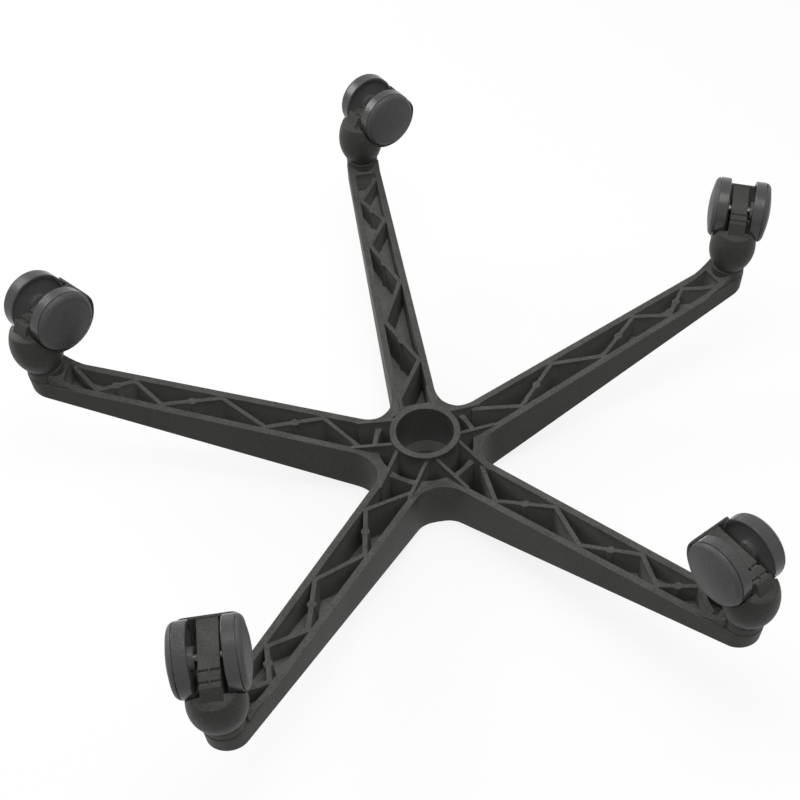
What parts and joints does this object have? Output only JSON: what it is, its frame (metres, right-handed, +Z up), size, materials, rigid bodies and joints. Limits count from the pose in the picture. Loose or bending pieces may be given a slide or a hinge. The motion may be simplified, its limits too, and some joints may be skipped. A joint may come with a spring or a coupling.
{
  "type": "office chair five star base",
  "caption": "Ribbed nylon star base of an office chair with twin-wheel swivel casters, turned over and standing on the top face of its hub.",
  "frame": {"origin": "On the hub axis, in the top face of the hub, which is the face that rests on the floor while the base stands upside down as pictured.", "axes": "+Z up along the hub axis, from the hub's top face towards the casters; +X along the arm of caster 1; casters 2 to 5 follow anticlockwise seen from above. In use the part is turned over, so that -Z points up."},
  "size_m": [0.6323, 0.6414, 0.1814],
  "materials": {
    "nylon": "satin moulded",
    "caster_nylon": "satin",
    "wheel_nylon": "satin",
    "steel": "plain"
  },
  "bodies": {
    "base": {"star_base": "nylon", "caster_1_stem": "steel", "caster_1_grip_ring": "steel", "caster_2_stem": "steel", "caster_2_grip_ring": "steel", "caster_3_stem": "steel", "caster_3_grip_ring": "steel", "caster_4_stem": "steel", "caster_4_grip_ring": "steel", "caster_5_stem": "steel", "caster_5_grip_ring": "steel"},
    "caster_1_body": {"caster_1_housing": "caster_nylon", "caster_1_axle": "steel"},
    "caster_1_left": {"caster_1_wheel_left": "wheel_nylon", "caster_1_cap_left": "wheel_nylon"},
    "caster_1_right": {"caster_1_wheel_right": "wheel_nylon", "caster_1_cap_right": "wheel_nylon"},
    "caster_2_body": {"caster_2_housing": "caster_nylon", "caster_2_axle": "steel"},
    "caster_2_left": {"caster_2_wheel_left": "wheel_nylon", "caster_2_cap_left": "wheel_nylon"},
    "caster_2_right": {"caster_2_wheel_right": "wheel_nylon", "caster_2_cap_right": "wheel_nylon"},
    "caster_3_body": {"caster_3_housing": "caster_nylon", "caster_3_axle": "steel"},
    "caster_3_left": {"caster_3_wheel_left": "wheel_nylon", "caster_3_cap_left": "wheel_nylon"},
    "caster_3_right": {"caster_3_wheel_right": "wheel_nylon", "caster_3_cap_right": "wheel_nylon"},
    "caster_4_body": {"caster_4_housing": "caster_nylon", "caster_4_axle": "steel"},
    "caster_4_left": {"caster_4_wheel_left": "wheel_nylon", "caster_4_cap_left": "wheel_nylon"},
    "caster_4_right": {"caster_4_wheel_right": "wheel_nylon", "caster_4_cap_right": "wheel_nylon"},
    "caster_5_body": {"caster_5_housing": "caster_nylon", "caster_5_axle": "steel"},
    "caster_5_left": {"caster_5_wheel_left": "wheel_nylon", "caster_5_cap_left": "wheel_nylon"},
    "caster_5_right": {"caster_5_wheel_right": "wheel_nylon", "caster_5_cap_right": "wheel_nylon"}
  },
  "joints": [
    {"name": "caster_1_swivel", "type": "hinge", "parent": "base", "child": "caster_1_body", "pos_m": [0.311, 0, 0.112], "axis": [0, 0, 1], "continuous": true},
    {"name": "caster_1_roll_left", "type": "hinge", "parent": "caster_1_body", "child": "caster_1_left", "pos_m": [0.32472, 0.01523, 0.156], "axis": [-0.7431, 0.6691, 0], "continuous": true},
    {"name": "caster_1_roll_right", "type": "hinge", "parent": "caster_1_body", "child": "caster_1_right", "pos_m": [0.32472, 0.01523, 0.156], "axis": [-0.7431, 0.6691, 0], "continuous": true},
    {"name": "caster_2_swivel", "type": "hinge", "parent": "base", "child": "caster_2_body", "pos_m": [0.0961, 0.29578, 0.112], "axis": [0, 0, 1], "continuous": true},
    {"name": "caster_2_roll_left", "type": "hinge", "parent": "caster_2_body", "child": "caster_2_left", "pos_m": [0.11642, 0.29852, 0.156], "axis": [-0.134, 0.991, 0], "continuous": true},
    {"name": "caster_2_roll_right", "type": "hinge", "parent": "caster_2_body", "child": "caster_2_right", "pos_m": [0.11642, 0.29852, 0.156], "axis": [-0.134, 0.991, 0], "continuous": true},
    {"name": "caster_3_swivel", "type": "hinge", "parent": "base", "child": "caster_3_body", "pos_m": [-0.2516, 0.1828, 0.112], "axis": [0, 0, 1], "continuous": true},
    {"name": "caster_3_roll_left", "type": "hinge", "parent": "caster_3_body", "child": "caster_3_left", "pos_m": [-0.23257, 0.19041, 0.156], "axis": [-0.3714, 0.9285, 0], "continuous": true},
    {"name": "caster_3_roll_right", "type": "hinge", "parent": "caster_3_body", "child": "caster_3_right", "pos_m": [-0.23257, 0.19041, 0.156], "axis": [-0.3714, 0.9285, 0], "continuous": true},
    {"name": "caster_4_swivel", "type": "hinge", "parent": "base", "child": "caster_4_body", "pos_m": [-0.2516, -0.1828, 0.112], "axis": [0, 0, 1], "continuous": true},
    {"name": "caster_4_roll_left", "type": "hinge", "parent": "caster_4_body", "child": "caster_4_left", "pos_m": [-0.24439, -0.16361, 0.156], "axis": [-0.9361, 0.3518, 0], "continuous": true},
    {"name": "caster_4_roll_right", "type": "hinge", "parent": "caster_4_body", "child": "caster_4_right", "pos_m": [-0.24439, -0.16361, 0.156], "axis": [-0.9361, 0.3518, 0], "continuous": true},
    {"name": "caster_5_swivel", "type": "hinge", "parent": "base", "child": "caster_5_body", "pos_m": [0.0961, -0.29578, 0.112], "axis": [0, 0, 1], "continuous": true},
    {"name": "caster_5_roll_left", "type": "hinge", "parent": "caster_5_body", "child": "caster_5_left", "pos_m": [0.09353, -0.27544, 0.156], "axis": [-0.9921, -0.1253, 0], "continuous": true},
    {"name": "caster_5_roll_right", "type": "hinge", "parent": "caster_5_body", "child": "caster_5_right", "pos_m": [0.09353, -0.27544, 0.156], "axis": [-0.9921, -0.1253, 0], "continuous": true}
  ]
}
